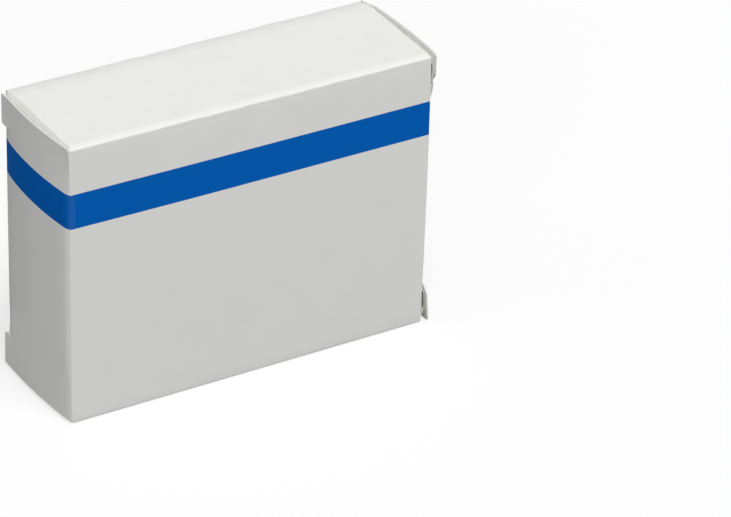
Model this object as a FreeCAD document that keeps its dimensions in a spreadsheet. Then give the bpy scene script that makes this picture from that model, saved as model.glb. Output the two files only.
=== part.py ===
import FreeCAD, Part
import math
import os
import Sketcher

# A folding carton of white paperboard, as small medicine packs come in: one tube of four panels
# with two dust flaps at each end, and at each end a closure that swings on a fold and ends in a
# tuck. The left closure hangs on the front panel and the right one on the back panel.
#
# Frame: X runs along the tube, Y from front to back, Z up. The origin is on the ground, in the
# middle of the bottom panel. Turned half a turn about Z, the carton looks the same, apart from
# its glued seam.

SIZES = (
    ("carton_length", 95.0, "tube, from end to end"),
    ("carton_depth", 32.7, "front panel to back panel, outside"),
    ("carton_height", 73.9, "bottom panel to top panel, outside"),
    ("board", 0.45, "thickness of the paperboard"),
    ("fold_radius", 1.4, "outside radius of every fold"),
    ("fold_gap", 0.1, "slit between the two bodies of a fold that moves"),
    ("closure_bow", 2.0, "how far a closure stands out past the tube at its middle"),
    ("closure_lean", 12.0, "degrees that a closure leans out where it leaves its fold"),
    ("closure_clearance", 0.55, "closure's edge below the top face, and above the ground"),
    ("ear_length", 9.6, "height of each ear beside the tuck's fold"),
    ("ear_setback", 0.8, "end of an ear, short of the panel that the tuck goes behind"),
    ("top_ear_slope", 2.6, "rise of the upper ear's sloping corner"),
    ("bottom_ear_slope", 1.3, "rise of the lower ear's sloping corner"),
    ("slit_length", 2.6, "cut into the closure from each end of the tuck's fold"),
    ("slit_width", 0.3, "width of that cut"),
    ("tuck_depth", 12.0, "how far a tuck reaches into the tube from its fold"),
    ("tuck_clearance", 0.6, "between a tuck and the panel it lies behind"),
    ("tuck_end_gap", 1.5, "between a tuck's ends and the top and bottom faces"),
    ("tuck_corner", 8.0, "radius of a tuck's leading corners"),
    ("flap_length", 22.0, "dust flap, from the face it folds down from to its tip"),
    ("flap_setback", 0.55, "dust flap's face, inside the tube's end"),
    ("flap_hinge_gap", 1.6, "dust flap's edge beside the closure's hinge fold"),
    ("flap_tuck_gap", 2.4, "dust flap's edge beside the tuck"),
    ("flap_taper", 4.0, "how much narrower a dust flap is at its tip"),
    ("flap_corner", 4.0, "radius of a dust flap's corner beside the tuck"),
    ("glue_flap_width", 11.0, "glued seam inside the bottom panel"),
    ("glue_flap_setback", 3.0, "ends of the glued seam, inside the tube's fold lines"),
    ("seam_gap", 0.4, "bottom panel's cut edge, short of the back panel's lower fold"),
)

# Words for places, in the sheet's sizes. FreeCAD's cos and sin take plain numbers as degrees.
LENGTH = "sizes.carton_length"
DEPTH = "sizes.carton_depth"
HEIGHT = "sizes.carton_height"
BOARD = "sizes.board"
FOLD = "sizes.fold_radius"
LEFT_END = f"(-{LENGTH} / 2)"
FRONT = f"(-{DEPTH} / 2)"
BACK = f"({DEPTH} / 2)"
SIDE_RUN = f"({HEIGHT} - 2 * {FOLD})"

# The left dust flaps' outer face, and the line of the top and bottom panels where they fold off.
FLAP_FACE = f"({LEFT_END} + sizes.flap_setback)"
FLAP_LAND = f"({FLAP_FACE} + {FOLD})"
FLAT_RUN = f"(-2 * {FLAP_LAND})"

# Half of a moving fold turns 45 degrees, less its share of the slit between the bodies.
HALF_SLIT_TURN = f"(sizes.fold_gap / 2 / {FOLD} * 180 / pi)"
HALF_FOLD_TURN = f"(45 - {HALF_SLIT_TURN})"

# The left closure in plan: a fold at the front, one shallow arc, and the tuck's fold at the back.
# Each fold's centre lies one reach from the centre of the shallow arc, so that all three meet
# smoothly.
LEAN = "sizes.closure_lean"
BOW_REACH = f"(sizes.closure_bow / (1 - cos({LEAN})))"
BOW_RADIUS = f"({BOW_REACH} + {FOLD})"
HINGE_X = f"({LEFT_END} + {FOLD})"
HINGE_Y = f"({FRONT} + {FOLD})"
BOW_X = f"({HINGE_X} + {BOW_REACH} * cos({LEAN}))"
BOW_Y = f"({HINGE_Y} + {BOW_REACH} * sin({LEAN}))"
TUCK_FACE = f"({BACK} - {BOARD} - sizes.tuck_clearance)"
TUCK_FOLD_Y = f"({TUCK_FACE} - {FOLD})"
TUCK_FOLD_TURN = f"(asin(({TUCK_FOLD_Y} - {BOW_Y}) / {BOW_REACH}) / 1deg)"
TUCK_FOLD_X = f"({BOW_X} - {BOW_REACH} * cos({TUCK_FOLD_TURN}))"
TUCK_FOLD_LINE = f"({TUCK_FOLD_Y} + {FOLD} * sin({TUCK_FOLD_TURN}))"
EAR_END = f"({BACK} - sizes.ear_setback)"
EAR_TURN = f"(asin(({EAR_END} - {BOW_Y}) / {BOW_RADIUS}) / 1deg)"

# Heights of a closure: its two edges, the two ends of the tuck's fold, and the slits beside them.
CLOSURE_FOOT = "sizes.closure_clearance"
CLOSURE_HEAD = f"({HEIGHT} - sizes.closure_clearance)"
LOWER_SLIT = f"({CLOSURE_FOOT} + sizes.ear_length)"
UPPER_SLIT = f"({CLOSURE_HEAD} - sizes.ear_length)"
FOLD_FOOT = f"({LOWER_SLIT} + sizes.slit_width)"
FOLD_HEAD = f"({UPPER_SLIT} - sizes.slit_width)"
CLOSURE_RUN = f"({CLOSURE_HEAD} - {CLOSURE_FOOT})"
FOLD_RUN = f"({FOLD_HEAD} - {FOLD_FOOT})"


def write_sizes(doc):
    """The sheet of driving dimensions: name, plain number under that name's alias, and use."""
    sheet = doc.addObject("Spreadsheet::Sheet", "sizes")
    for row, (name, value, use) in enumerate(SIZES, start=1):
        sheet.set(f"A{row}", name)
        sheet.set(f"B{row}", str(value))
        sheet.setAlias(f"B{row}", name)
        sheet.set(f"C{row}", use)
    doc.recompute()
    return sheet


def line_to(x, y):
    """One straight edge of an outline, to a point given in words for places."""
    return {"x": x, "y": y, "radius": None, "left": True}


def arc_to(x, y, radius, left=True):
    """One round edge of an outline, under half a turn, that bends left or right on its way."""
    return {"x": x, "y": y, "radius": radius, "left": left}


def arc_through(start, end, radius, left):
    """The sketch arc from start to end. Sketch arcs always run anticlockwise."""
    chord = end - start
    half = chord.Length / 2
    normal = FreeCAD.Vector(-chord.y, chord.x, 0).normalize()
    rise = math.sqrt(max(radius * radius - half * half, 0.0))
    centre = (start + end) / 2 + normal * (rise if left else -rise)
    first, last = (start, end) if left else (end, start)
    from_angle = math.atan2(first.y - centre.y, first.x - centre.x)
    to_angle = math.atan2(last.y - centre.y, last.x - centre.x)
    circle = Part.Circle(centre, FreeCAD.Vector(0, 0, 1), radius)
    return Part.ArcOfCircle(circle, from_angle, to_angle)


def closed_sketch(body, name, plane, lift, edges):
    """A closed outline on one of the body's own planes, lifted along the plane's normal.

    Each edge ends where the next one starts, and the last edge ends where the first one starts.
    Every corner is held by two dimensions bound to the sheet, and every arc by its radius too.
    """
    sketch = body.newObject("Sketcher::SketchObject", name)
    support = [item for item in body.Origin.OriginFeatures if item.Role == plane][0]
    sketch.AttachmentSupport = (support, "")
    sketch.MapMode = "FlatFace"
    sketch.setExpression("AttachmentOffset.Base.z", lift)
    corners = []
    for edge in edges:
        corner = FreeCAD.Vector(sketch.evalExpression(edge["x"]), sketch.evalExpression(edge["y"]), 0)
        corners.append(corner)
    ends = []
    for number, edge in enumerate(edges):
        start = corners[number - 1]
        end = corners[number]
        if edge["radius"] is None:
            sketch.addGeometry(Part.LineSegment(start, end))
            ends.append((1, 2))
        else:
            radius = sketch.evalExpression(edge["radius"])
            sketch.addGeometry(arc_through(start, end, radius, edge["left"]))
            ends.append((1, 2) if edge["left"] else (2, 1))
    for number, edge in enumerate(edges):
        after = (number + 1) % len(edges)
        sketch.addConstraint(
            Sketcher.Constraint("Coincident", number, ends[number][1], after, ends[after][0])
        )
    for number, edge in enumerate(edges):
        for kind, words, value in (
            ("DistanceX", edge["x"], corners[number].x),
            ("DistanceY", edge["y"], corners[number].y),
        ):
            held = sketch.addConstraint(Sketcher.Constraint(kind, number, ends[number][1], value))
            sketch.setExpression(f"Constraints[{held}]", words)
        if edge["radius"] is not None:
            radius = sketch.evalExpression(edge["radius"])
            held = sketch.addConstraint(Sketcher.Constraint("Radius", number, radius))
            sketch.setExpression(f"Constraints[{held}]", edge["radius"])
    return sketch


class BoardPath:
    """A bent board seen on edge, walked along its outer face with the board on the left hand."""

    def __init__(self, x, y, heading):
        self.heading = heading
        self.outer = [line_to(x, y)]
        self.inner = [line_to(*self.across(x, y))]

    def across(self, x, y):
        """The point of the inner face that lies straight across the board from (x, y)."""
        return (
            f"({x} - {BOARD} * sin({self.heading}))",
            f"({y} + {BOARD} * cos({self.heading}))",
        )

    def run(self, length):
        """Walk straight on."""
        x = f"({self.outer[-1]['x']} + {length} * cos({self.heading}))"
        y = f"({self.outer[-1]['y']} + {length} * sin({self.heading}))"
        self.outer.append(line_to(x, y))
        self.inner.append(line_to(*self.across(x, y)))
        return self

    def bend(self, radius, turn):
        """Walk round to the left by turn degrees, with the outer face at radius."""
        ahead = f"({self.heading} + {turn})"
        x = f"({self.outer[-1]['x']} + {radius} * (sin({ahead}) - sin({self.heading})))"
        y = f"({self.outer[-1]['y']} + {radius} * (cos({self.heading}) - cos({ahead})))"
        self.heading = ahead
        self.outer.append(arc_to(x, y, radius))
        self.inner.append(arc_to(*self.across(x, y), f"({radius} - {BOARD})"))
        return self

    def outline(self):
        """The closed outline: out along the outer face, across, and back along the inner one."""
        edges = [line_to(self.outer[0]["x"], self.outer[0]["y"])]
        edges += self.outer[1:]
        edges.append(line_to(self.inner[-1]["x"], self.inner[-1]["y"]))
        for far, near in zip(reversed(self.inner[1:]), reversed(self.inner[:-1])):
            edges.append({"x": near["x"], "y": near["y"], "radius": far["radius"], "left": False})
        return edges


def padded(body, name, plane, lift, edges, length):
    """A solid stretch of the body: an outline pushed out along its plane's normal."""
    pad = body.newObject("PartDesign::Pad", name)
    pad.Profile = closed_sketch(body, f"{name}_outline", plane, lift, edges)
    pad.setExpression("Length", length)
    return pad


def make_panels(body):
    """The four panels of the tube, and the glue flap that closes it.

    The front and back panels carry the long folds. Each runs on past the dust flaps to the end
    where a tuck goes behind it, and stops at the hinge fold of its own closure at the other end.
    """
    wall_run = f"({LENGTH} - {FOLD})"
    front = BoardPath(f"({FRONT} + {FOLD})", HEIGHT, "180")
    front.bend(FOLD, "90").run(SIDE_RUN).bend(FOLD, "90")
    padded(body, "front_panel", "YZ_Plane", HINGE_X, front.outline(), wall_run)

    across = f"({DEPTH} - 2 * {FOLD})"
    top = BoardPath(f"({BACK} - {FOLD})", HEIGHT, "180").run(across)
    padded(body, "top_panel", "YZ_Plane", FLAP_LAND, top.outline(), FLAT_RUN)
    bottom = BoardPath(f"({FRONT} + {FOLD})", "0", "0").run(f"({across} - sizes.seam_gap)")
    padded(body, "bottom_panel", "YZ_Plane", FLAP_LAND, bottom.outline(), FLAT_RUN)

    # The back panel's lower edge turns in over the bottom panel, as the glue flap.
    flap = BoardPath(f"({BACK} - {FOLD} - sizes.glue_flap_width)", BOARD, "0")
    flap.run("sizes.glue_flap_width")
    start = f"({FLAP_LAND} + sizes.glue_flap_setback)"
    length = f"({FLAT_RUN} - 2 * sizes.glue_flap_setback)"
    padded(body, "glue_flap", "YZ_Plane", start, flap.outline(), length)
    back = BoardPath(f"({BACK} - {FOLD})", BOARD, "0").bend(FOLD, "90")
    back.run(f"({SIDE_RUN} - {BOARD})").bend(FOLD, "90")
    padded(body, "back_panel", "YZ_Plane", LEFT_END, back.outline(), wall_run)


def make_dust_flap(body, name, root, towards, fold_path):
    """One dust flap of the left end: its fold, and the leg that hangs or stands in the mouth.

    root is the height of the leg's upper or lower end, and towards is -1 for a leg that hangs
    down from there and 1 for a leg that stands up.
    """
    edge_by_hinge = f"({FRONT} + sizes.flap_hinge_gap)"
    edge_by_tuck = f"({BACK} - sizes.flap_tuck_gap)"
    width = f"({edge_by_tuck} - {edge_by_hinge})"
    fold = padded(body, f"{name}_fold", "XZ_Plane", f"(-{edge_by_tuck})", fold_path.outline(), width)
    tip = f"({root} + {towards} * (sizes.flap_length - {FOLD}))"
    shoulder = f"({tip} - {towards} * sizes.flap_corner)"
    edges = [
        line_to(edge_by_hinge, root),
        line_to(f"({edge_by_hinge} + sizes.flap_taper)", tip),
        line_to(f"({edge_by_tuck} - sizes.flap_corner)", tip),
        arc_to(edge_by_tuck, shoulder, "sizes.flap_corner", left=towards < 0),
        line_to(edge_by_tuck, root),
    ]
    leg = padded(body, name, "YZ_Plane", FLAP_FACE, edges, BOARD)
    return [fold, leg]


def make_carton_body(doc):
    """The folded blank without its closures: panels, glue flap, dust flaps and hinge folds."""
    body = doc.addObject("PartDesign::Body", "carton_body")
    make_panels(body)

    # The left end's pieces. The right end has the same ones, half a turn round.
    top_fold = BoardPath(FLAP_LAND, HEIGHT, "180").bend(FOLD, "90")
    bottom_fold = BoardPath(FLAP_FACE, FOLD, "270").bend(FOLD, "90")
    ends = make_dust_flap(body, "top_dust_flap", f"({HEIGHT} - {FOLD})", -1, top_fold)
    ends += make_dust_flap(body, "bottom_dust_flap", FOLD, 1, bottom_fold)
    half_fold = BoardPath(
        f"({HINGE_X} - {FOLD} * cos(45 + {HALF_SLIT_TURN}))",
        f"({HINGE_Y} - {FOLD} * sin(45 + {HALF_SLIT_TURN}))",
        f"(315 + {HALF_SLIT_TURN})",
    ).bend(FOLD, HALF_FOLD_TURN)
    ends.append(
        padded(body, "hinge_fold", "XY_Plane", CLOSURE_FOOT, half_fold.outline(), CLOSURE_RUN)
    )

    both_ends = body.newObject("PartDesign::PolarPattern", "both_ends")
    upright = [item for item in body.Origin.OriginFeatures if item.Role == "Z_Axis"][0]
    both_ends.Originals = ends
    both_ends.Axis = (upright, [""])
    both_ends.Angle = 360
    both_ends.Occurrences = 2
    body.Tip = both_ends
    return body


def make_closure(doc, name):
    """The panel that shuts the left end: its half of both folds, and an ear at each corner."""
    body = doc.addObject("PartDesign::Body", name)

    # The whole panel in plan, from the ends of its ears to its half of the hinge fold.
    panel = BoardPath(
        f"({BOW_X} - {BOW_RADIUS} * cos({EAR_TURN}))",
        EAR_END,
        f"(270 - {EAR_TURN})",
    )
    panel.bend(BOW_RADIUS, f"({EAR_TURN} + {LEAN})")
    panel.bend(FOLD, f"({HALF_FOLD_TURN} - {LEAN})")
    padded(body, f"{name}_panel", "XY_Plane", CLOSURE_FOOT, panel.outline(), CLOSURE_RUN)

    # Between the ears the board is cut back to the tuck's fold line, with a slit at each end.
    past_ears = f"({EAR_END} + {BOARD})"
    slit_end = f"({TUCK_FOLD_LINE} - sizes.slit_length)"
    window = [
        line_to(past_ears, f"({LOWER_SLIT} - sizes.bottom_ear_slope)"),
        line_to(past_ears, f"({UPPER_SLIT} + sizes.top_ear_slope)"),
        line_to(EAR_END, f"({UPPER_SLIT} + sizes.top_ear_slope)"),
        line_to(TUCK_FOLD_LINE, UPPER_SLIT),
        line_to(slit_end, UPPER_SLIT),
        line_to(slit_end, FOLD_HEAD),
        line_to(TUCK_FOLD_LINE, FOLD_HEAD),
        line_to(TUCK_FOLD_LINE, FOLD_FOOT),
        line_to(slit_end, FOLD_FOOT),
        line_to(slit_end, LOWER_SLIT),
        line_to(TUCK_FOLD_LINE, LOWER_SLIT),
        line_to(EAR_END, f"({LOWER_SLIT} - sizes.bottom_ear_slope)"),
    ]
    cut = body.newObject("PartDesign::Pocket", f"{name}_cuts")
    outside = f"({LEFT_END} - 2 * sizes.closure_bow)"
    cut.Profile = closed_sketch(body, f"{name}_cut_outline", "YZ_Plane", outside, window)
    cut.Reversed = True
    cut.setExpression("Length", f"(2 * sizes.closure_bow + {FOLD})")

    half_fold = BoardPath(
        f"({TUCK_FOLD_X} - {FOLD} * cos(45 - {HALF_SLIT_TURN}))",
        f"({TUCK_FOLD_Y} + {FOLD} * sin(45 - {HALF_SLIT_TURN}))",
        f"(225 + {HALF_SLIT_TURN})",
    ).bend(FOLD, f"({HALF_FOLD_TURN} - {TUCK_FOLD_TURN})")
    padded(body, f"{name}_tuck_fold", "XY_Plane", FOLD_FOOT, half_fold.outline(), FOLD_RUN)
    return body


def make_tuck(doc, name):
    """The flap on the left closure's free edge, which goes into the tube behind the back panel."""
    body = doc.addObject("PartDesign::Body", name)
    half_fold = BoardPath(TUCK_FOLD_X, TUCK_FACE, "180").bend(FOLD, HALF_FOLD_TURN)
    padded(body, f"{name}_fold", "XY_Plane", FOLD_FOOT, half_fold.outline(), FOLD_RUN)

    # The leg is wider than its fold, because the slits free its shoulders from the ears.
    tip = f"({TUCK_FOLD_X} + sizes.tuck_depth)"
    foot = "sizes.tuck_end_gap"
    head = f"({HEIGHT} - sizes.tuck_end_gap)"
    edges = [
        line_to(TUCK_FOLD_X, foot),
        line_to(f"({tip} - sizes.tuck_corner)", foot),
        arc_to(tip, f"({foot} + sizes.tuck_corner)", "sizes.tuck_corner"),
        line_to(tip, f"({head} - sizes.tuck_corner)"),
        arc_to(f"({tip} - sizes.tuck_corner)", head, "sizes.tuck_corner"),
        line_to(TUCK_FOLD_X, head),
    ]
    padded(body, f"{name}_leg", "XZ_Plane", f"(-{TUCK_FACE})", edges, BOARD)
    return body


def check(doc, parts):
    """Stop before anything is written if an object of the document failed."""
    for item in doc.Objects:
        if "Invalid" in item.State or "Error" in item.State:
            raise RuntimeError(f"{item.Label} didn't compute")
        if item.TypeId == "PartDesign::Pocket":
            if item.Shape.Volume >= item.BaseFeature.Shape.Volume:
                raise RuntimeError(f"{item.Label} cuts nothing")
    for part in parts:
        if part.Shape.isNull() or not part.Shape.isValid():
            raise RuntimeError(f"{part.Label} has no valid shape")


def main():
    doc = FreeCAD.newDocument("medicine_carton")
    write_sizes(doc)
    parts = [make_carton_body(doc)]
    for side, turn in (("left", 0), ("right", 180)):
        for make, piece in ((make_closure, "closure"), (make_tuck, "tuck")):
            part = make(doc, f"{side}_{piece}")
            part.Placement = FreeCAD.Placement(
                FreeCAD.Vector(0, 0, 0), FreeCAD.Rotation(FreeCAD.Vector(0, 0, 1), turn)
            )
            parts.append(part)
    doc.recompute()
    check(doc, parts)
    os.makedirs("parts", exist_ok=True)
    for part in parts:
        part.Shape.exportStep(f"parts/{part.Label}.step")
        solids = len(part.Shape.Solids)
        print(f"{part.Label}: {solids} solid, {part.Shape.Volume:.1f} mm3")


main()
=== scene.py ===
# %% [markdown]
# # A folding medicine carton
# The object is a small white box of folded paperboard, closed at both ends by a panel that tucks in.
# It arrives here as imported CAD bodies, which already have the right sizes and the right hinges.
# This lesson dresses them: each body gets a piece of folded board in its place, and the walls ride on their
# body.

# %% Load the imported frame
import bpy
import bmesh
import math
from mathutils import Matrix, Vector


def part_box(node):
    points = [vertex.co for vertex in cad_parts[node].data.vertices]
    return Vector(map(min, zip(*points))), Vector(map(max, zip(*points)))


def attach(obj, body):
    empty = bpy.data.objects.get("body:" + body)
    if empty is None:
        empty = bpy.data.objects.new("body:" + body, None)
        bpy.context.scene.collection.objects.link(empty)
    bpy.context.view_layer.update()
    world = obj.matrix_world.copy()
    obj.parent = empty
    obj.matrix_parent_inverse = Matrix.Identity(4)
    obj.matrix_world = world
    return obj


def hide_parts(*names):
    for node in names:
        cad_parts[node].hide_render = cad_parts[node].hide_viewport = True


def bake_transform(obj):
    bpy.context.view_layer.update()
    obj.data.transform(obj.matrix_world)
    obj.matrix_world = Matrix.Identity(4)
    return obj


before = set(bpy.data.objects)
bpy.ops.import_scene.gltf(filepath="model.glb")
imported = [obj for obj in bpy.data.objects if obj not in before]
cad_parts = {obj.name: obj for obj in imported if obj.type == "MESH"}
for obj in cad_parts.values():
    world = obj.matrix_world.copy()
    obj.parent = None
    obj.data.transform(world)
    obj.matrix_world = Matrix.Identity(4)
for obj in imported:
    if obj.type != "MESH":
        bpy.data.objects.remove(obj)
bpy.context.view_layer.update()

# %% [markdown]
# ## Sizes
# A carton maker works from three sizes of the box and the thickness of the board, and so does this
# script. The three sizes are read from the CAD body, so that nothing has to be fitted by hand.
# Everything is worked out in millimetres, which are easy to picture, and turned to metres once.
# Three helpers follow, since most shapes here are a blend, an eased step or a row of even steps.

# %% Sizes in millimetres
MM = 0.001
tube_low, tube_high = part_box("carton_body")
half_length = round(tube_high.x / MM, 3)
half_depth = round(tube_high.y / MM, 3)
height = tube_high.z / MM
board = 0.45
print("tube box mm:", [round(v / MM, 2) for v in tube_low], [round(v / MM, 2) for v in tube_high])

# %% Blend, ease and spread
def blend_value(a, b, t):
    """a at t = 0, b at t = 1."""
    return a + (b - a) * t


def ease(low, high, value):
    """0 below low, 1 above high, and a smooth S between them."""
    t = min(max((value - low) / (high - low), 0.0), 1.0)
    return t * t * (3.0 - 2.0 * t)


def spread(low, high, count):
    """count + 1 even steps from low to high."""
    return [blend_value(low, high, i / count) for i in range(count + 1)]


print("eased quarters:", [round(ease(0.0, 1.0, t), 2) for t in spread(0.0, 1.0, 4)])

# %% [markdown]
# ## Folding a sheet
# A carton is one flat sheet, so every piece here is drawn as a net of points on its outer face.
# Nets that share an edge are welded there, as the board runs on through a fold.
# A Solidify modifier then gives the sheet its real thickness, with its own finish for the inside
# and for the raw cut edge, which is why no box or cylinder is needed anywhere.
# The right end is the left one turned half round, so only left ends are drawn.

# %% Draw a net of points
# The two outer finishes. The list of finishes goes on with their insides and their cut edges.
PRINTED, PLAIN = 0, 1
INSIDE_STEP, EDGE_STEP = 2, 4
WELD = 2e-6  # metres
SAME_POINT = 1e-8  # metres, for the corners of a face that has shrunk to a triangle


def add_net(bm, rows, finish):
    """Adds a net of outer-face points, row by row, in millimetres. Rows run up, columns run along."""
    made = [[bm.verts.new(Vector(p) * MM) for p in row] for row in rows]
    for lower, upper in zip(made, made[1:]):
        for a, b, c, d in zip(lower, lower[1:], upper[1:], upper):
            corners = []
            for v in (a, b, c, d):
                if all((v.co - w.co).length > SAME_POINT for w in corners):
                    corners.append(v)
            if len(corners) > 2:
                face = bm.faces.new(corners)
                face.material_index = finish


print("points closer than this are welded, mm:", WELD / MM)

# %% Fold the nets into one sheet of board
def fold_sheet(name, nets, finishes, facing):
    """Welds the nets into one sheet, gives it the board's thickness inwards, and returns the piece.
    facing is a point near one outer face, in millimetres, and the way that this face looks."""
    bm = bmesh.new()
    for rows, finish in nets:
        add_net(bm, rows, finish)
    bmesh.ops.remove_doubles(bm, verts=bm.verts, dist=WELD)
    bmesh.ops.recalc_face_normals(bm, faces=bm.faces)
    probe = min(bm.faces, key=lambda f: (f.calc_center_median() - Vector(facing[0]) * MM).length)
    if probe.normal.dot(Vector(facing[1])) < 0:
        bmesh.ops.reverse_faces(bm, faces=bm.faces)
    mesh = bpy.data.meshes.new(name)
    bm.to_mesh(mesh)
    bm.free()
    piece = bpy.data.objects.new(name, mesh)
    bpy.context.scene.collection.objects.link(piece)
    for finish in finishes:
        mesh.materials.append(finish)
    thicken = piece.modifiers.new("board", "SOLIDIFY")
    thicken.thickness = board * MM
    thicken.offset = -1.0
    thicken.material_offset = INSIDE_STEP
    thicken.material_offset_rim = EDGE_STEP
    depsgraph = bpy.context.evaluated_depsgraph_get()
    dressed = bpy.data.meshes.new_from_object(piece.evaluated_get(depsgraph))
    piece.modifiers.clear()
    piece.data = dressed
    bm = bmesh.new()
    bm.from_mesh(dressed)
    for face in bm.faces:
        face.smooth = True
    for edge in bm.edges:
        kinds = {f.material_index for f in edge.link_faces}
        edge.smooth = len(kinds) == 1
    bm.to_mesh(dressed)
    bm.free()
    print(name, "faces:", len(dressed.polygons))
    return piece


print("sheets are as thick as the board, mm:", board)

# %% Turn a left end round to the right
def turned_round(nets, turned):
    """Nets drawn for the left end, turned half round about the upright axis where they go right."""
    if not turned:
        return nets
    return [([[(-x, -y, z) for x, y, z in row] for row in rows], finish) for rows, finish in nets]


print("(1, 2, 3) turned round:", turned_round([([[(1, 2, 3)]], PLAIN)], True)[0][0][0][0])

# %% [markdown]
# ## Finishes
# Folding boxboard is wood pulp pressed in layers, with a smooth clay coating on the printed side.
# The eye gets three finishes from it: the coated face, which is white, smooth and matt, the
# uncoated back, which is warmer and rougher, and the raw cut edge, where the fibres show.
# All of them are drawn from the piece's own position, so they run on from one piece to the next.

# %% Colours and scales
def linear(hex_colour):
    """Turns an sRGB hex colour to the linear values that the shaders work with."""
    values = [int(hex_colour[i:i + 2], 16) / 255 for i in (1, 3, 5)]
    return (*[v / 12.92 if v <= 0.04045 else ((v + 0.055) / 1.055) ** 2.4 for v in values], 1.0)


def per_mm(size):
    """Texture scale for a feature of this size in millimetres, as positions are in metres."""
    return 1000.0 / size


print("mid grey in linear values:", [round(v, 3) for v in linear("#808080")[:3]])

# %% Add a node, start a finish
def add(tree, kind, settings=None, sockets=None):
    """Adds a node, sets its options, and fills or links its inputs."""
    made = tree.nodes.new(kind)
    for name, value in (settings or {}).items():
        setattr(made, name, value)
    for name, value in (sockets or {}).items():
        if isinstance(value, bpy.types.NodeSocket):
            tree.links.new(value, made.inputs[name])
        else:
            made.inputs[name].default_value = value
    return made


def start_finish(name, roughness, ior, specular=0.5):
    """A new material with its shader and the position that its patterns are drawn from."""
    made = bpy.data.materials.new(name)
    made.use_nodes = True
    tree = made.node_tree
    shader = tree.nodes["Principled BSDF"]
    shader.inputs["Roughness"].default_value = roughness
    shader.inputs["IOR"].default_value = ior
    shader.inputs["Specular IOR Level"].default_value = specular
    place = add(tree, "ShaderNodeTexCoord").outputs["Object"]
    print("finish:", name, "with roughness", roughness, "and IOR", ior)
    return made, tree, shader, place


print("materials before the first finish:", len(bpy.data.materials))

# %% [markdown]
# ### The coated, printed face
# Clay-coated board is rolled and smoothed, then printed and given a matt varnish. The coating (IOR
# 1.5, roughness about 0.5) is cloudy, in patches a few millimetres wide where more or less of it
# lies. With the usual specular level of 0.5 this bright room would wash out the ink, so the level
# is set close to 0, lower than real varnish would ask for. One band of blue ink runs round the
# box. Where a crease turns the printed board, the ink cracks into fine pale dots, and in a narrow
# strip along the hinge folds the ink is a little paler. A painted texture could carry all of that,
# but it would have to be unwrapped to fit. Here the position says where it lies, so it stays sharp
# and has no seams.

# %% The coating's colour
COATING_WHITE = "#EFEFEC"
# Lowest and highest values: the tone of the clouds and of the fibres, and the coating's roughness.
CLOUD_TONE, FIBRE_TONE = (0.975, 1.02), (0.985, 1.015)
COATING_ROUGHNESS = (0.45, 0.57)


def cloudy_coating(tree, place):
    """White clay coating: the noises it is drawn from, its colour and its roughness."""
    # Cloudy coating, 7 mm across, and fibres under it, really 0.05 mm and drawn 0.4 mm to show.
    cloud = add(tree, "ShaderNodeTexNoise", None, {"Vector": place, "Scale": per_mm(7), "Detail": 3.0})
    fibre = add(tree, "ShaderNodeTexNoise", None, {"Vector": place, "Scale": per_mm(0.4), "Detail": 2.0})
    shade = add(tree, "ShaderNodeMapRange", None,
                {"Value": cloud.outputs["Fac"], 3: CLOUD_TONE[0], 4: CLOUD_TONE[1]})
    speck = add(tree, "ShaderNodeMapRange", None,
                {"Value": fibre.outputs["Fac"], 3: FIBRE_TONE[0], 4: FIBRE_TONE[1]})
    tone = add(tree, "ShaderNodeMath", {"operation": "MULTIPLY"}, {0: shade.outputs[0], 1: speck.outputs[0]})
    colour = add(tree, "ShaderNodeVectorMath", {"operation": "SCALE"},
                 {0: linear(COATING_WHITE)[:3], "Scale": tone.outputs[0]})
    roughness = add(tree, "ShaderNodeMapRange", None,
                    {"Value": cloud.outputs["Fac"], 3: COATING_ROUGHNESS[0], 4: COATING_ROUGHNESS[1]})
    return cloud.outputs["Fac"], fibre.outputs["Fac"], colour.outputs[0], roughness.outputs[0]


print("coating in linear values:", [round(v, 3) for v in linear(COATING_WHITE)[:3]])

# %% The band of ink
BAND_LOW, BAND_HIGH = 52.85, 61.85
BAND_BLUR = 0.05  # half the width, in millimetres, over which the ink's edge fades


def ink_band(tree, axes, fibre):
    """1 on the band of ink and 0 off it. The fibres make its edges ragged by up to 0.06 mm."""
    ragged = add(tree, "ShaderNodeMath", {"operation": "MULTIPLY_ADD"},
                 {0: fibre, 1: 0.06 * MM, 2: axes.outputs["Z"]})
    low = add(tree, "ShaderNodeMapRange", {"interpolation_type": "SMOOTHSTEP"},
              {"Value": ragged.outputs[0], 1: (BAND_LOW - BAND_BLUR) * MM, 2: (BAND_LOW + BAND_BLUR) * MM})
    high = add(tree, "ShaderNodeMapRange", {"interpolation_type": "SMOOTHSTEP"},
               {"Value": ragged.outputs[0], 1: (BAND_HIGH + BAND_BLUR) * MM, 2: (BAND_HIGH - BAND_BLUR) * MM})
    band = add(tree, "ShaderNodeMath", {"operation": "MULTIPLY"}, {0: low.outputs[0], 1: high.outputs[0]})
    return band.outputs[0]


print("ink band mm:", BAND_LOW, "to", BAND_HIGH)

# %% Cracked ink at the creases, and a paler strip along the hinge folds
# Each place in plan, in millimetres from the middle, with the radii where its loss of ink is full and gone.
TUCK_CRACKS = ((47.65, 15.95), 0.35, 0.55)
HINGE_CRACKS = ((48.35, -14.7), 0.3, 0.7)
# The third place is a narrow strip along the hinge folds, where the ink is only made a little paler.
PALE_STRIP = ((46.8, 16.4), 0.2, 0.9)
CRACK_LOSS, PALE_STRIP_LOSS = 0.07, 0.02  # share of the ink that is lost at a dot and in the rubbed strip


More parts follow.
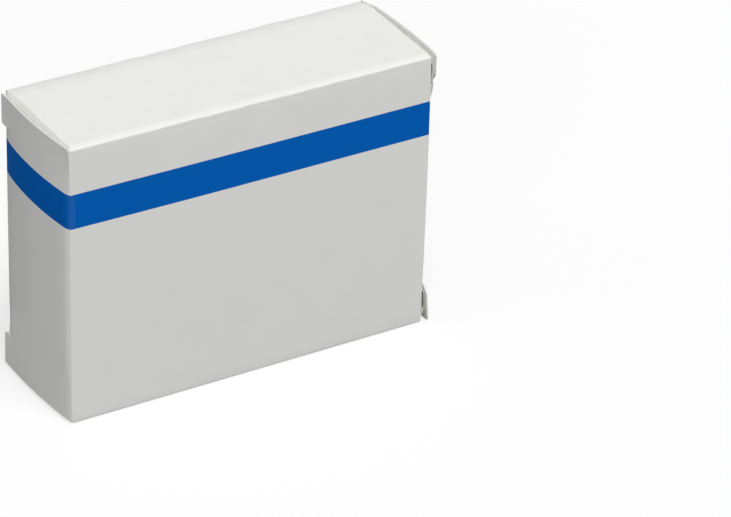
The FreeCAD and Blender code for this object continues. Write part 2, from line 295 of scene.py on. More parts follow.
def ink_cracks_and_pale_strip(tree, place, axes):
    """Share of the ink that is lost. Turned half round, both ends are alike, so that one position
    in plan serves both: the length without its sign, and the depth turned with it."""
    side = add(tree, "ShaderNodeMath", {"operation": "SIGN"}, {0: axes.outputs["X"]})
    across = add(tree, "ShaderNodeMath", {"operation": "ABSOLUTE"}, {0: axes.outputs["X"]})
    depth = add(tree, "ShaderNodeMath", {"operation": "MULTIPLY"}, {0: axes.outputs["Y"], 1: side.outputs[0]})
    plan = add(tree, "ShaderNodeCombineXYZ", None, {"X": across.outputs[0], "Y": depth.outputs[0]})
    loss_shares = []
    for spot, inner, outer in (TUCK_CRACKS, HINGE_CRACKS, PALE_STRIP):
        far = add(tree, "ShaderNodeVectorMath", {"operation": "DISTANCE"},
                  {0: plan.outputs[0], 1: (spot[0] * MM, spot[1] * MM, 0.0)})
        loss_shares.append(add(tree, "ShaderNodeMapRange", {"interpolation_type": "SMOOTHSTEP"},
                        {"Value": far.outputs["Value"], 1: outer * MM, 2: inner * MM}).outputs[0])
    # Cracks in ink are about 0.05 mm wide; the dots are 0.3 mm apart so that they show.
    cracks = add(tree, "ShaderNodeTexVoronoi", None, {"Vector": place, "Scale": per_mm(0.3)})
    dots = add(tree, "ShaderNodeMapRange", {"interpolation_type": "SMOOTHSTEP"},
               {"Value": cracks.outputs["Distance"], 1: 0.5, 2: 0.25, 3: 0.0, 4: CRACK_LOSS})
    creased = add(tree, "ShaderNodeMath", {"operation": "MAXIMUM"}, {0: loss_shares[0], 1: loss_shares[1]})
    cracked = add(tree, "ShaderNodeMath", {"operation": "MULTIPLY"},
                  {0: creased.outputs[0], 1: dots.outputs[0]})
    lost = add(tree, "ShaderNodeMath", {"operation": "MULTIPLY_ADD"},
               {0: loss_shares[2], 1: PALE_STRIP_LOSS, 2: cracked.outputs[0]})
    return lost.outputs[0]


print("ink cracks within mm:", TUCK_CRACKS[2], HINGE_CRACKS[2], "and is paler within", PALE_STRIP[2])

# %% Coated face
COATING_SPECULAR = 0.001
INK_BLUE = "#0865C1"
INK_ROUGHNESS = 0.36


def coated_face(name, printed):
    """The outer face of the board, with the band of ink where it is printed."""
    made, tree, shader, place = start_finish(name, 0.5, 1.5, COATING_SPECULAR)
    cloud, fibre, colour, roughness = cloudy_coating(tree, place)
    if printed:
        axes = add(tree, "ShaderNodeSeparateXYZ", None, {0: place})
        kept = add(tree, "ShaderNodeMath", {"operation": "SUBTRACT"},
                   {0: 1.0, 1: ink_cracks_and_pale_strip(tree, place, axes)})
        cover = add(tree, "ShaderNodeMath", {"operation": "MULTIPLY"},
                    {0: ink_band(tree, axes, fibre), 1: kept.outputs[0]})
        colour = add(tree, "ShaderNodeMix", {"data_type": "RGBA"},
                     {"Factor": cover.outputs[0], 6: colour, 7: linear(INK_BLUE)}).outputs[2]
        roughness = add(tree, "ShaderNodeMix", None,
                        {"Factor": cover.outputs[0], 2: roughness, 3: INK_ROUGHNESS}).outputs[0]
    tree.links.new(colour, shader.inputs["Base Color"])
    tree.links.new(roughness, shader.inputs["Roughness"])
    wave = add(tree, "ShaderNodeBump", None, {"Strength": 0.5, "Distance": 0.06 * MM, "Height": cloud})
    grain = add(tree, "ShaderNodeBump", None,
                {"Strength": 0.3, "Distance": 0.01 * MM, "Height": fibre, "Normal": wave.outputs[0]})
    tree.links.new(grain.outputs[0], shader.inputs["Normal"])
    return made


printed_board = coated_face("clay_coated_board_printed", True)
plain_board = coated_face("clay_coated_board_plain", False)
print("printed face nodes:", len(printed_board.node_tree.nodes))

# %% [markdown]
# ### The uncoated back and the cut edge
# Inside the box the pulp is bare: dull, a little warmer, with fibres lying every way. The die cuts
# through all the layers, and the cut edge is a thin line, a little darker, soft and quite matt.
# Both are plain noises at a fibre's size with a faint bump, since neither was coated or printed.

# %% Uncoated back
board_inside, tree, shader, place = start_finish("uncoated_board_back", 0.9, 1.5)
# Fibres are about 0.03 mm wide; the pattern is drawn at 0.6 mm so that it shows.
fibres = add(tree, "ShaderNodeTexNoise", None,
             {"Vector": place, "Scale": per_mm(0.6), "Detail": 4.0, "Distortion": 1.5})
patches = add(tree, "ShaderNodeTexNoise", None, {"Vector": place, "Scale": per_mm(4), "Detail": 2.0})
mixed = add(tree, "ShaderNodeMath", {"operation": "MULTIPLY_ADD"},
            {0: fibres.outputs["Fac"], 1: 0.6, 2: patches.outputs["Fac"]})
back_colour = add(tree, "ShaderNodeMix", {"data_type": "RGBA"},
                  {"Factor": mixed.outputs[0], 6: linear("#E6E5E1"), 7: linear("#F3F3F0")})
tree.links.new(back_colour.outputs[2], shader.inputs["Base Color"])
back_bump = add(tree, "ShaderNodeBump", None,
                {"Strength": 0.5, "Distance": 0.03 * MM, "Height": fibres.outputs["Fac"]})
tree.links.new(back_bump.outputs[0], shader.inputs["Normal"])
print("back's nodes:", len(tree.nodes))

# %% Cut edge
board_edge, tree, shader, place = start_finish("cut_board_edge", 0.95, 1.5)
# The layers are 0.1 mm thick, too fine to show, so the edge is broken up at 0.5 mm instead.
layers = add(tree, "ShaderNodeTexNoise", None, {"Vector": place, "Scale": per_mm(0.5), "Detail": 3.0})
edge_colour = add(tree, "ShaderNodeMix", {"data_type": "RGBA"},
                  {"Factor": layers.outputs["Fac"], 6: linear("#D4D2CC"), 7: linear("#E8E7E1")})
tree.links.new(edge_colour.outputs[2], shader.inputs["Base Color"])
edge_bump = add(tree, "ShaderNodeBump", None,
                {"Strength": 0.6, "Distance": 0.03 * MM, "Height": layers.outputs["Fac"]})
tree.links.new(edge_bump.outputs[0], shader.inputs["Normal"])
FINISHES = [printed_board, plain_board, board_inside, board_inside, board_edge, board_edge]
print("finishes:", len(set(FINISHES)))

# %% [markdown]
# ## Creases
# A crease is pressed into the board before it is folded. The bend is tight on the wall's side and
# eases out slowly on the other, and that slow part is what catches the light along the top's edge.
# A bevel would round both sides alike. So a crease is written here as a few arcs, each with the
# angle it turns to and its radius.

# %% Crease profiles
def crease_profile(arcs, steps):
    """Points of a crease from the upright wall on: how far in, and how far up, each has come."""
    points = [(0.0, 0.0)]
    inward = rise = 0.0
    turned = 0.0
    for to_angle, radius in arcs:
        for angle in spread(turned, math.radians(to_angle), steps)[1:]:
            points.append((
                inward + radius * (math.cos(turned) - math.cos(angle)),
                rise + radius * (math.sin(angle) - math.sin(turned)),
            ))
        inward, rise = points[-1]
        turned = math.radians(to_angle)
    return points


# Arcs as (angle turned to, radius). The top's front and back creases begin alike and then ease out,
# the back one more slowly. The first 13 points are the tight part, which the closing panels follow.
tight_arcs = [(45, 0.4), (74, 1.0)]
top_crease = crease_profile(tight_arcs + [(80, 9.0), (90, 3.0)], 6)
back_crease = crease_profile(tight_arcs + [(82, 18.0), (90, 18.0)], 6)
top_tight = top_crease[:13]
foot_crease = crease_profile([(60, 0.5), (90, 1.0)], 5)
foot_rise = foot_crease[-1][1]
wall_top = height - top_crease[-1][1]
back_top = height - back_crease[-1][1]
for name, crease in (("front", top_crease), ("back", back_crease), ("foot", foot_crease)):
    print(name, "crease in and up, mm:", [round(v, 2) for v in crease[-1]])

# %% [markdown]
# ## The walls
# Front, top, back and bottom are one strip of board, creased four times and glued under the bottom.
# The front and the back swell a little between their creases, because board never stays quite flat,
# by less than 3% of the depth together, so that the box stays the size that the CAD gives it. The
# swell is a formula, because a sculpted one couldn't be changed in one place.
# The strip is drawn as rows that run along the box, from the bottom's cut edge round to the glue
# flap, and each row has ends of its own, where the sheet was cut or where a flap goes on.

# %% Sizes of the walls
swell = 0.48
seam_x = 44.0  # where the walls' ends begin, so that the closing panels can share their points
seam_steps = 4
panel_half = 46.6  # the swell has gone here, along the box
swell_margin = 1.1  # and this far from the bottom and the top
glue_level = board + 0.02  # the glue flap lies on the bottom panel
dust_half = 15.4  # half the width of an upper dust flap at its root
bottom_end = 14.5  # where the bottom panel stops, short of the back wall
back_cut = 0.3  # how much shorter the back wall's left end is cut
# Length from the middle to a dust flap's crease.
end_roots = {"left": 46.95, "right": 47.35}
print("swell mm:", swell, "which is so much of the depth:", round(swell / half_depth, 4))

# %% Swell, wander and level of the walls
def wall_swell(x, z, facing=-1.0):
    """How far the front and the back stand out from flat, in millimetres. The front's right end is
    a free cut edge, so it stands out there too."""
    free = facing < 0 and x > 0
    along = 1.0 if free else max(0.0, 1.0 - (x / panel_half) ** 2)
    up = max(0.0, 1.0 - ((z - height / 2) / (height / 2 - swell_margin)) ** 2)
    return swell * along * up ** 0.8


def crease_wander(x):
    """A hand-folded crease wanders a little along its length."""
    waves = 0.05 * math.sin(0.31 * x + 1.0) + 0.045 * math.sin(0.83 * x + 2.0)
    waves += 0.025 * math.sin(2.3 * x)
    return waves * max(0.0, 1.0 - (x / seam_x) ** 4)


def top_level(y):
    """Height of the top, which eases down to its creases on both sides."""
    inward = half_depth - abs(y)
    crease, start = (top_crease, wall_top) if y < 0 else (back_crease, back_top)
    for (a, low), (b, high) in zip(crease, crease[1:]):
        if a <= inward < b:
            return start + blend_value(low, high, (inward - a) / (b - a))
    return height


print("top 1 mm behind the front, mm:", round(top_level(1.0 - half_depth), 2))

# %% Ends and rows of the walls
def flap_root(y, side):
    """Length from the middle to a dust flap's crease, with y measured from the hinge side."""
    return end_roots[side] - 0.25 * ease(-10.0, -15.0, y) + 0.45 * ease(8.0, 14.5, y) * (side == "left")


def crease_end(y):
    """Length from the middle to the cut end of a crease."""
    return half_length - 0.25 * ease(half_depth, half_depth - 1.2, abs(y))


def wall_row(y, z, x_low, x_high, steps):
    """One row of wall points. The front's and the back's rows stand out by their swell."""
    facing = math.copysign(1.0, y) if abs(y) > half_depth - 1e-6 else 0.0
    bent = ease(12.5, 15.5, abs(y)) * ease(height - 2.0, height - 1.0, z)
    return [
        (x, y + facing * wall_swell(x, z, facing), z + bent * crease_wander(x))
        for x in spread(x_low, x_high, steps)
    ]


print("flap roots mm:", {side: flap_root(0, side) for side in end_roots})

# %% [markdown]
# ### The walls' rows
# The outline of the tube is written once, as a list of (depth, height) points from the bottom panel
# round to the glue flap. Each point becomes a row. The middle of every row is the same length, and
# only the ends beyond the seam differ: to a dust flap's crease, to a cut edge or to a crease's end.

# %% Depths and heights of the rows
slot_y = 14.2  # rows lie closer together beyond this depth, where the flaps' corners are
tight_y = half_depth - top_tight[-1][0]
beside_flap = 15.6  # one row lies between a flap's root and the tight crease
flap_ys = spread(-dust_half, -slot_y, 8) + spread(-slot_y, slot_y, 32)[1:]
flap_ys += spread(slot_y, dust_half, 8)[1:]
panel_ys = [-tight_y, -beside_flap] + flap_ys + [beside_flap, tight_y]
bottom_ys = [-half_depth + foot_crease[-1][0]] + [y for y in flap_ys if y < bottom_end + 0.01]
bottom_ys += [bottom_end + 0.05]

bottom_rows = [(y, 0.0) for y in reversed(bottom_ys)]
front_rows = [(-half_depth + i, foot_rise - r) for i, r in reversed(foot_crease[:-1])]
front_rows += [(-half_depth, z) for z in spread(foot_rise, wall_top, 36)[1:]]
front_rows += [(-half_depth + i, wall_top + r) for i, r in top_tight[1:]]
top_rows = [(y, top_level(y)) for y in panel_ys[1:]]
back_rows = [(half_depth - i, back_top + r) for i, r in reversed(top_tight[:-1])]
back_rows += [(half_depth, z) for z in spread(back_top, glue_level + foot_rise, 36)[1:]]
back_rows += [(half_depth - i, glue_level + foot_rise - r) for i, r in foot_crease[1:]]
all_rows = bottom_rows + front_rows + top_rows + back_rows
middle = [wall_row(y, z, -seam_x, seam_x, 60) for y, z in all_rows]
glue_ys = [14.9, 12.0, 8.0, 3.95]
glue_half = 42.55
glue = [middle[-1]] + [wall_row(y, glue_level, -glue_half, glue_half, 60) for y in glue_ys]
print("rows round the section:", len(middle))

# %% The rows' ends
def end_rows(rows, side, x_of):
    """The rows' ends beyond the seam, at the left or at the right."""
    if side == "left":
        return [wall_row(y, z, -x_of(y), -seam_x, seam_steps) for y, z in rows]
    return [wall_row(y, z, seam_x, x_of(y), seam_steps) for y, z in rows]


def left_root(y):
    return flap_root(y, "left") if abs(y) <= dust_half else crease_end(y)


def right_root(y):
    return flap_root(-y, "right") if abs(y) <= dust_half else crease_end(y)


def left_cut(y):
    return crease_end(y) - back_cut


first_top = (-tight_y, top_level(-tight_y))
low_left = end_rows(bottom_rows, "left", left_root)
high_left = end_rows([first_top] + top_rows, "left", left_root)
high_left += end_rows(back_rows, "left", left_cut)
right = end_rows(bottom_rows, "right", right_root) + end_rows(front_rows, "right", crease_end)
right += end_rows(top_rows, "right", right_root)
wall_nets = [(net, PRINTED) for net in (middle, low_left, high_left, right)] + [(glue, PLAIN)]
print("nets of the walls so far:", len(wall_nets))

# %% [markdown]
# ## The closing panels
# Each end is closed by a panel hinged on a wall. It is a little too wide for its opening, so it bows.
# Between two short slits the tuck draws it in again, and the corners outside the slits, the ears,
# stay free and flare out. One formula for the bow, with other values at the foot and at the top,
# gives all of that, and the same net then carries the fold, the panel and the ears.

# %% Shapes of the two ends
slit_low, slit_high = (9.2, 9.45), (65.2, 65.45)  # the slits' edges, in height
slit_start = 10.2
ear_rows, tuck_rows = 6, 26  # steps in height beside each ear, and along the tuck
panel_high = 73.35  # upper edge of a closing panel
# Both ends are drawn as the left one. Depths run from the hinge to the tuck, and each pair has the
# value for the lower ear and the one for the upper ear.
#   peak, curve, place    how far the bow stands out, how fast it falls off and at which depth it
#                         peaks: at the foot, in the middle and at the top
#   foot_level, low_edge  level of the wall's foot beside the hinge, and the panel's lower edge
#   joint_y               where the hinge fold meets the bow
#   flare                 how much the tuck's fold is let out towards the upper ear
#   ear_ends, flares      the ears' far ends, and how far those stand out at their foot and head
#   inner_corners, slopes rounding and slope of each ear's corner beside the slit
END_SHAPES = {
    "left": {
        "wall_top": wall_top, "foot_level": 0.0, "low_edge": 0.55, "joint_y": -15.1, "flare": 0.0,
        "peak": (2.16, 1.92, 1.75), "curve": (0.0032, 0.0053, 0.0042), "place": (8.2, 0.65, 4.6),
        "ear_ends": (14.45, 14.95), "flares": ((2.1, 2.02), (1.62, 1.62)),
        "inner_corners": (0.45, 0.5), "slopes": (0.3, 0.1),
    },
    "right": {
        "wall_top": back_top, "foot_level": glue_level, "low_edge": 0.03, "joint_y": -13.0, "flare": 1.45,
        "peak": (2.5, 2.2, 2.46), "curve": (0.0032, 0.0053, 0.0032), "place": (7.0, 0.65, 5.0),
        "ear_ends": (16.3, 15.65), "flares": ((2.32, 1.68), (1.95, 1.95)),
        "inner_corners": (0.4, 0.2), "slopes": (1.2, 2.5),
    },
}
print("slits mm:", slit_low, "and", slit_high)

# %% The bow of a closing panel
def bow(y, z, shape):
    """How far the closing panel stands out beyond the tube's end at this depth and height."""
    foot = 1.0 - ease(2.0, 20.0, z)
    top = ease(58.0, 73.0, z)
    shares = (foot, 1.0 - foot - top, top)
    peak, curve, place = (
        sum(a * b for a, b in zip(shares, shape[key])) for key in ("peak", "curve", "place")
    )
    return peak - curve * (y - place) ** 2


for side, shape in END_SHAPES.items():
    print(side, "bow mm at foot, middle, top:", [round(bow(4.0, z, shape), 2) for z in (1, 36, 73)])

# %% The hinge fold
# The fold's radius, how much wider it opens at the foot and the top, the share of its radius that
# lies inside the tube's end, and how far its far end moves on for each millimetre of opening.
hinge_tight, hinge_opening, hinge_sunk, hinge_moves = 0.45, 0.55, 0.78, 1.27


def hinge_radius(z):
    """The hinge fold is tight, and opens up where it meets the creases at the foot and the top."""
    return hinge_tight + hinge_opening * (ease(70.5, 72.6, z) + ease(3.0, 0.8, z))


def hinge_points(z, shape, count):
    """Plan points of the hinge fold: a tight arc from the wall, then a flat strip to the bow."""
    radius = hinge_radius(z)
    centre = (-half_length + hinge_sunk * radius, -half_depth + radius)
    joint_y = shape["joint_y"] + hinge_moves * (radius - hinge_tight)
    joint = (-half_length - bow(joint_y, z, shape), joint_y)
    away, along = centre[0] - joint[0], joint[1] - centre[1]
    lean = math.acos(radius / math.hypot(away, along)) - math.atan2(along, away)
    arc = [
        (centre[0] - radius * math.sin(a), centre[1] - radius * math.cos(a))
        for a in spread(0.0, math.pi / 2 - lean, count - 3)
    ]
    strip = [
        tuple(blend_value(p, q, t) for p, q in zip(arc[-1], joint)) for t in spread(0.0, 1.0, 3)[1:]
    ]
    return arc + strip


print("hinge radius mm at foot, middle, top:", [round(hinge_radius(z), 2) for z in (1, 36, 73)])

# %% [markdown]
# ### One net for fold and panel
# A panel could be a separate plate, but its printed face runs on from the wall without a gap. So
# its rows begin on the wall, go round the hinge fold, and follow the bow. Where the wall's own
# creases turn in at the foot and the top, the rows beside the hinge turn with them.

# %% Plan of a closing panel at one height
hinge_steps, bow_steps, ear_steps = 10, 22, 10


def flat_zs(shape):
    """Heights of the rows between the creases, with the slits' edges among them."""
    zs = spread(shape["foot_level"] + foot_rise, slit_low[0], ear_rows)
    zs += spread(slit_low[1], slit_high[0], tuck_rows)
    return zs + spread(slit_high[1], shape["wall_top"], ear_rows)


def panel_plan(z, shape):
    """Plan points of the panel at one height: wall strip, hinge fold, bow to the slit's start, ear."""
    fold = hinge_points(z, shape, hinge_steps)
    strip = [(x, -half_depth - wall_swell(x, z)) for x in spread(-seam_x, fold[0][0], seam_steps)]
    run = [(-half_length - bow(y, z, shape), y) for y in spread(fold[-1][1], slit_start, bow_steps)]
    return strip + fold[1:] + run[1:]


def panel_weight(index):
    """0 on the wall strip and 1 on the panel, smooth over the hinge fold."""
    return ease(seam_steps, seam_steps + hinge_steps + 1, index)


for side, shape in END_SHAPES.items():
    print(side, "panel:", len(flat_zs(shape)), "flat rows of", len(panel_plan(36.0, shape)), "points")

# %% Net of a closing panel
def panel_row(z, shape, crease=(0.0, 0.0), turn=0.0, edge=0.0):
    """One row of the panel. In the bands that follow the wall's creases, crease is how far in and
    up the wall has come, turn how much of the band is done, and edge where the panel's edge ends."""
    plan = panel_plan(z, shape)
    row = []
    for i, (x, y) in enumerate(plan):
        w = panel_weight(i)
        inward = (1.0 - w) * crease[0]
        level = z + (1.0 - w) * crease[1] + w * (edge - z) * turn
        a, b = plan[max(i - 1, 0)], plan[min(i + 1, len(plan) - 1)]
        length = math.hypot(b[0] - a[0], b[1] - a[1])
        normal = ((b[1] - a[1]) / length, -(b[0] - a[0]) / length)
        if i <= seam_steps:
            normal = (0.0, 1.0)
        row.append((x + normal[0] * inward, y + normal[1] * inward, level))
    return row


def panel_net(shape):
    """The whole panel, from the crease at its foot to the one at its top."""
    foot_z = shape["foot_level"] + foot_rise
    net = []
    for i, (inward, rise) in enumerate(foot_crease[1:], 1):
        turn = i / (len(foot_crease) - 1)
        net.insert(0, panel_row(foot_z, shape, (inward, -rise), turn, shape["low_edge"]))
    net += [panel_row(z, shape) for z in flat_zs(shape)]
    for i, (inward, rise) in enumerate(top_tight[1:], 1):
        turn = i / (len(top_tight) - 1)
        net.append(panel_row(shape["wall_top"], shape, (inward, rise), turn, panel_high))
    return net


print("rows that follow the creases:", len(foot_crease) - 1, "at the foot,", len(top_tight) - 1, "at the top")

# %% [markdown]
# ### The ears
# Beyond the slits' start the panel is cut free of the tuck, at its foot and at its top. These
# corners carry the panel's own rows on to a rounded end. Their steps crowd towards that end, by a
# sine, so that a few points draw the small corners well.

# %% Nets of the ears
outer_corner = 0.45
slope_run = 1.5  # length of an ear's sloping corner


def rounding(left, radius):
    """How much a rounded corner takes off an edge, this far from its end."""
    return radius - math.sqrt(max(0.0, radius ** 2 - max(0.0, radius - left) ** 2))


def ear_net(rows, shape, upper):
    """Carries panel rows on beyond the slit's start, with the ear's corners rounded."""
    ear_end = shape["ear_ends"][upper]
    start = [row[-1] for row in rows]
    z_low, z_high = start[0][2], start[-1][2]
    net = []
    for x, y, z in start:
        row = [(x, y, z)]
        share = (z - z_low) / (z_high - z_low)
        flare = blend_value(*shape["flares"][upper], share)
        for t in spread(0.0, math.pi / 2, ear_steps)[1:]:
            depth = blend_value(slit_start, ear_end, math.sin(t))
            left = ear_end - depth
            outer = rounding(left, outer_corner)
            inner = rounding(left, shape["inner_corners"][upper])
            inner += shape["slopes"][upper] * max(0.0, 1.0 - left / slope_run)
            low = z_low + (inner if upper else outer)
            high = z_high - (outer if upper else inner)
            out = bow(depth, z, shape) + math.sin(t) ** 2 * (flare - bow(ear_end, z, shape))
            row.append((-half_length - out, depth, blend_value(low, high, share)))
        net.append(row)
    return net


# An ear takes the rows up to its slit, and the crease's rows, whose first one is the panel's own.
low_ear_rows, high_ear_rows = len(foot_crease) + ear_rows, len(top_tight) + ear_rows
panel_nets = {}
for side, shape in END_SHAPES.items():
    main = panel_net(shape)
    ears = [ear_net(main[:low_ear_rows], shape, 0), ear_net(main[-high_ear_rows:], shape, 1)]
    panel_nets[side] = [(net, PRINTED) for net in [main] + ears]
    print(side, "panel net:", len(main), "rows of", len(main[0]), "and two ears")

# %% [markdown]
# ## The tucks
# The tuck is the leg that slides in behind the far wall. It starts as part of the closing panel,
# between the slits, so its piece begins there, goes round the fold and ends in a rounded tip. It is
# a piece of its own because it turns about its own fold.

# %% Plan of a tuck at one height
tuck_face = 15.3
fold_radius = 1.4
tuck_tip = -35.57  # how far the leg reaches into the tube
leg_low, leg_high = 1.5, 72.4
tip_corner = 8.0
fold_bow = 0.85  # how far the tuck's straight fold stands out past the tube
leg_level = 36.0  # the leg's length is taken at this height
tuck_zs = spread(slit_low[1], slit_high[0], tuck_rows)


def tuck_bow(y, z, shape):
    """The panel's bow between the slits, where the tuck draws the fold in to one straight line."""
    fold_y = tuck_face - fold_radius
    drawn = bow(fold_y, z, shape) - fold_bow - shape["flare"] * ease(58.5, slit_high[0], z)
    return bow(y, z, shape) - drawn * ((y - slit_start) / (fold_y - slit_start)) ** 2


def tuck_plan(z, shape):
    """Plan points of the tuck at one height: strip of the panel, crease, leg to its tip."""
    centre_y = tuck_face - fold_radius
    y_end = centre_y
    # The fold begins where its arc and the panel lean alike, which a few rounds settle.
    for _ in range(6):
        slope = (tuck_bow(y_end + 0.05, z, shape) - tuck_bow(y_end - 0.05, z, shape)) / 0.1
        lean = -math.atan(slope)
        y_end = centre_y + fold_radius * math.sin(lean)
    centre_x = -half_length - tuck_bow(y_end, z, shape) + fold_radius * math.cos(lean)
    strip = [(-half_length - tuck_bow(y, z, shape), y) for y in spread(slit_start, y_end, 8)]
    turn = [
        (centre_x - fold_radius * math.cos(a), centre_y + fold_radius * math.sin(a))
        for a in spread(lean, math.pi / 2, 10)
    ]
    return strip + turn[1:]


print("points of a tuck's strip and fold:", len(tuck_plan(leg_level, END_SHAPES["left"])))

# %% Net of a tuck
def leg_edge(run, length, edge, root):
    """Height of the leg's edge after this run from the crease, in millimetres."""
    wide = blend_value(root, edge, ease(0.2, 1.2, run))
    left = length - run
    if left < tip_corner:
        middle = (leg_low + leg_high) / 2
        cut = tip_corner - math.sqrt(max(0.0, tip_corner ** 2 - (tip_corner - left) ** 2))
        wide += cut if edge < middle else -cut
    return wide


def tuck_net(shape):
    """The tuck, from the slits' start round the fold to its tip."""
    length = tuck_tip - tuck_plan(leg_level, shape)[-1][0]
    runs = [0.3, 0.5, 0.7, 0.9, 1.2, 2.0] + spread(3.0, length - tip_corner, 4)[:-1]
    runs += [length - tip_corner * (1.0 - math.sin(a)) for a in spread(0.0, math.pi / 2, 12)]
    net = []
    for z in tuck_zs:
        plan = tuck_plan(z, shape)
        share = (z - tuck_zs[0]) / (tuck_zs[-1] - tuck_zs[0])
        row = [(x, y, z) for x, y in plan]
        for run in runs:
            low = leg_edge(run, length, leg_low, tuck_zs[0])
            high = leg_edge(run, length, leg_high, tuck_zs[-1])
            x = blend_value(plan[-1][0], tuck_tip, run / length)
            row.append((x, tuck_face, blend_value(low, high, share)))
        net.append(row)
    print("tuck leg mm:", round(length, 2))
    return net


print("tuck rows:", len(tuck_zs))

# %% [markdown]
# ## Dust flaps
# Two small flaps at each end fold in from the top and the bottom, before the closing panel shuts.
# They are part of the walls' sheet, and folding them in comes first, so they never move here.
# They spring back against the closing panel. A flap's section is a crease, a slope and a bend, and
# the slope is as long as it must be to reach the panel, wherever that bows out. Flaps could be
# plates of their own, but nets that start at the walls' edge weld to them without a gap.

# %% Section of a dust flap
flap_length, flap_taper, flap_corner = 22.0, 4.0, 4.0
flap_gap = 0.02
flap_bend = 0.35  # radius of the bend from the slope to the face
flap_inset = 0.25  # how far a flap's edge stays behind the end of the ear
flap_reach = 15.5  # and where it stops at the latest, inside the wall that the tuck goes behind
shoulder_y = 13.4  # a flap steps back to here, clear of the tuck
shoulder_run = (5.0, 7.0)  # and does it between these distances along it
# The slope of a flap beyond its crease, in degrees, and the crease's radius.
FLAP_CREASES = {"left": (60, 0.3), "right": (59, 0.12)}


def flap_face(y, z, shape):
    """Where a left dust flap rests against the closing panel."""
    return -half_length - bow(y, z, shape) + board + flap_gap


def flap_section(reach, slope_degrees, radius):
    """A flap's crease, slope and bend in section: how far out and how far down, from its root."""
    slope = math.radians(slope_degrees)
    points = [(radius * math.sin(a), radius * (1.0 - math.cos(a))) for a in spread(0.0, slope, 5)]
    out, down = points[-1]
    straight = max(0.05, (reach - out - flap_bend * (1.0 - math.sin(slope))) / math.cos(slope))
    points += [
        (out + run * math.cos(slope), down + run * math.sin(slope)) for run in spread(0.0, straight, 4)[1:]
    ]
    out, down = points[-1]
    for a in spread(slope, math.pi / 2, 5)[1:]:
        points.append((
            out + flap_bend * (math.sin(a) - math.sin(slope)),
            down + flap_bend * (math.cos(slope) - math.cos(a)),
        ))
    return [(out * reach / points[-1][0], down) for out, down in points]


for side, crease in FLAP_CREASES.items():
    print(side, "flap is this far down when 2 mm out, mm:", round(flap_section(2.0, *crease)[-1][1], 2))

# %% Net of a dust flap
def flap_net(ys, side, upper):
    """A dust flap at the left end, from its root at these depths: crease, slope, face, tip."""
    shape = END_SHAPES[side]
    edge = min(shape["ear_ends"][upper] - flap_inset, flap_reach)
    # The rows lie closer together beside the root and along the shoulder.
    runs = [0.4, 0.8, 1.2, 1.6, 2.5, 3.5, 4.5, 5.2, 5.6, 6.0, 6.4, 6.8, 7.2, 9.0, 12.0, 15.0, 18.0]
    runs += [flap_length - flap_corner * (1.0 - math.sin(a)) for a in spread(0.0, math.pi / 2, 8)[1:]]
    net = []
    for y in ys:
        root = -flap_root(y, side)
        root_z = top_level(y) if upper else 0.0
        way = -1.0 if upper else 1.0
        reach = max(0.3, root - flap_face(y, root_z + way, shape))
        section = flap_section(reach, *FLAP_CREASES[side])
        row = [(root - out, y, root_z + way * down) for out, down in section]
        drop = section[-1][1]
        for run in runs:
            low = ys[0] + (flap_taper + 0.4) * run / flap_length
            high = blend_value(ys[-1], edge, ease(0.2, 1.5, run))
            high -= (edge - shoulder_y) * ease(*shoulder_run, run)
            if run > flap_length - flap_corner:
                high -= rounding(flap_length - run, flap_corner)
            depth = blend_value(low, high, (y - ys[0]) / (ys[-1] - ys[0]))
            z = root_z + way * (drop + run * (flap_length - drop) / flap_length)
            row.append((min(root - 0.3, flap_face(depth, z, shape)), depth, z))
        net.append(row)
    return net


print("dust flap mm:", flap_length, "long")

# %% Roots of the dust flaps
# The bottom panel stops short of the back wall, so the two lower flaps are narrower on that side.
lower_ys = [y for y in flap_ys if y <= bottom_end]
# The upper left flap is cut back by three rows, which leaves the small gap beside its ear.
roots = {
    ("left", True): flap_ys[:-3], ("left", False): lower_ys,
    ("right", True): flap_ys, ("right", False): [-y for y in reversed(lower_ys)],
}
for (side, upper), ys in roots.items():
    wall_nets += turned_round([(flap_net(ys, side, upper), PLAIN)], side == "right")
print("flap rows:", len(flap_ys), "above and", len(lower_ys), "below")

# %% [markdown]
# ## The five pieces
# Each CAD body gets one piece of board, and the body itself is hidden. The walls ride on the carton.
# A closing panel crosses its hinge and a tuck crosses its fold, but both are drawn where they stand
# at rest, and they are neither tied to a body nor blended across the fold.

# %% The walls
walls_face = ((0, -half_depth - swell, height / 2), (0, -1, 0))
walls = fold_sheet("carton_walls", wall_nets, FINISHES, walls_face)
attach(walls, "carton")
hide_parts("carton_body")
print("nets in the walls:", len(wall_nets))

# %% The closing panels and the tucks
# A point on the tuck's leg, at the left end, in millimetres, tells which of its faces is outside.
leg_inside = 40.0  # a length from the middle at which only the leg is met
for side, sign in (("left", 1), ("right", -1)):
    outside = ((-half_length * sign, 0, height / 2), (-sign, 0, 0))
    nets = turned_round(panel_nets[side], sign < 0)
    panel = fold_sheet(side + "_closing_panel", nets, FINISHES, outside)
    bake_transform(panel)
    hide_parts(side + "_closure")

    outside = ((-leg_inside * sign, tuck_face * sign, leg_level), (0, sign, 0))
    nets = turned_round([(tuck_net(END_SHAPES[side]), PRINTED)], sign < 0)
    tuck = fold_sheet(side + "_tuck_leg", nets, FINISHES, outside)
    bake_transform(tuck)
    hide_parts(side + "_tuck")

# %% [markdown]
# ## The floor
# The box stands on a sheet of white studio paper. White paper near a white box would throw light
# up onto it, so the paper is grey for light and white only for what looks at it. There it also
# glows a little, which keeps the box's shadow soft and pale. More lamps would bleach the box.

# %% The sheet
floor_mesh = bpy.data.meshes.new("floor")
bm = bmesh.new()
bmesh.ops.create_grid(bm, x_segments=2, y_segments=2, size=4.0)
bm.to_mesh(floor_mesh)
bm.free()
floor = bpy.data.objects.new("floor", floor_mesh)
bpy.context.scene.collection.objects.link(floor)
floor.location.z = -0.1 * MM
print("floor size m:", floor.dimensions[0])

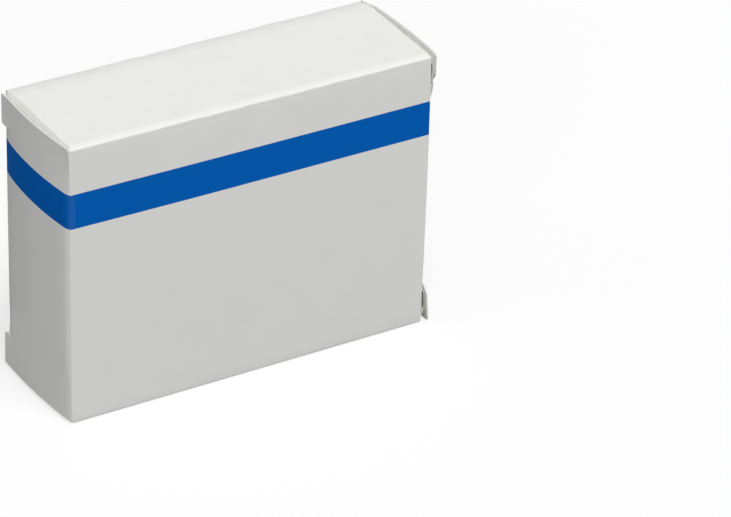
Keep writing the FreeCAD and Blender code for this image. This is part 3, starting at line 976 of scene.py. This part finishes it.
# %% Studio paper, white for the eye only
PAPER_GREY, PAPER_GLOW = 0.22, 0.6


def looked_at(tree):
    """1 for rays from the camera and for what glossy or clear things show, 0 for all other rays."""
    rays = add(tree, "ShaderNodeLightPath")
    seen = add(tree, "ShaderNodeMath", {"operation": "MAXIMUM"},
               {0: rays.outputs["Is Camera Ray"], 1: rays.outputs["Is Glossy Ray"]})
    return add(tree, "ShaderNodeMath", {"operation": "MAXIMUM"},
               {0: seen.outputs[0], 1: rays.outputs["Is Transmission Ray"]}).outputs[0]


floor_paper, tree, shader, place = start_finish("studio_paper", 1.0, 1.5, 0.0)
seen = looked_at(tree)
paper = add(tree, "ShaderNodeMix", {"data_type": "RGBA"},
            {"Factor": seen, 6: (PAPER_GREY, PAPER_GREY, PAPER_GREY, 1.0), 7: (1.0, 1.0, 1.0, 1.0)})
tree.links.new(paper.outputs[2], shader.inputs["Base Color"])
glow = add(tree, "ShaderNodeEmission", None, {"Strength": 1.0})
share = add(tree, "ShaderNodeMath", {"operation": "MULTIPLY"}, {0: seen, 1: PAPER_GLOW})
mixed = add(tree, "ShaderNodeMixShader", None,
            {0: share.outputs[0], 1: shader.outputs[0], 2: glow.outputs[0]})
tree.links.new(mixed.outputs[0], tree.nodes["Material Output"].inputs["Surface"])
floor_mesh.materials.append(floor_paper)
print("paper's grey for light:", PAPER_GREY)

# %% [markdown]
# ## The light
# Pale board shows its folds only by small steps in tone, so the light has to be soft but not even.
# A dim white room fills every shadow. A wide sun from above makes the top the palest face, then
# the front, then the end. A weaker one, low from the front left, keeps the ears' insides readable.
# Their strengths add up to about the plain level, at which a colour renders as it is written.

# %% The room
ROOM_LEVEL = 0.34
world = bpy.data.worlds.new("studio")
bpy.context.scene.world = world
world.use_nodes = True
tree = world.node_tree
background = tree.nodes["Background"]
background.inputs["Color"].default_value = (1.0, 1.0, 1.0, 1.0)
level = add(tree, "ShaderNodeMix", None, {"Factor": looked_at(tree), 2: ROOM_LEVEL, 3: 1.0})
tree.links.new(level.outputs[0], background.inputs["Strength"])
print("room level:", ROOM_LEVEL)

# %% The two suns
# Each sun's name, strength, width in degrees and the way that its light travels.
SUNS = (
    ("key", 1.73, 30, (0.0, 0.38, -0.925)),
    ("fill", 0.785, 45, (0.475, 0.772, -0.423)),
)
for name, strength, width, shines in SUNS:
    lamp = bpy.data.lights.new(name, "SUN")
    lamp.energy = strength
    lamp.angle = math.radians(width)
    light = bpy.data.objects.new(name, lamp)
    bpy.context.scene.collection.objects.link(light)
    light.rotation_euler = Vector(shines).to_track_quat("-Z", "Y").to_euler()
    print(name, "light:", round(lamp.energy, 3), "W/m2")

# %% [markdown]
# ## The camera
# A small box looks like a small box when the lens is long and the camera stands well back: its
# upright edges stay nearly parallel. This camera looks down on the box from its left front corner.
# The Standard view transform shows the colours as they were written.

# %% Camera
camera_data = bpy.data.cameras.new("camera")
camera_data.sensor_width = 36.0
camera_data.lens = 203.84
camera_data.clip_end = 20
camera = bpy.data.objects.new("camera", camera_data)
bpy.context.scene.collection.objects.link(camera)
camera.location = Vector((-410.58, -735.85, 538.33)) * MM
camera.rotation_euler = [math.radians(angle) for angle in (58.579, -1.654, -30.544)]
bpy.context.scene.camera = camera
print("camera distance mm:", round(camera.location.length / MM, 1))
bpy.context.scene.view_settings.view_transform = "Standard"
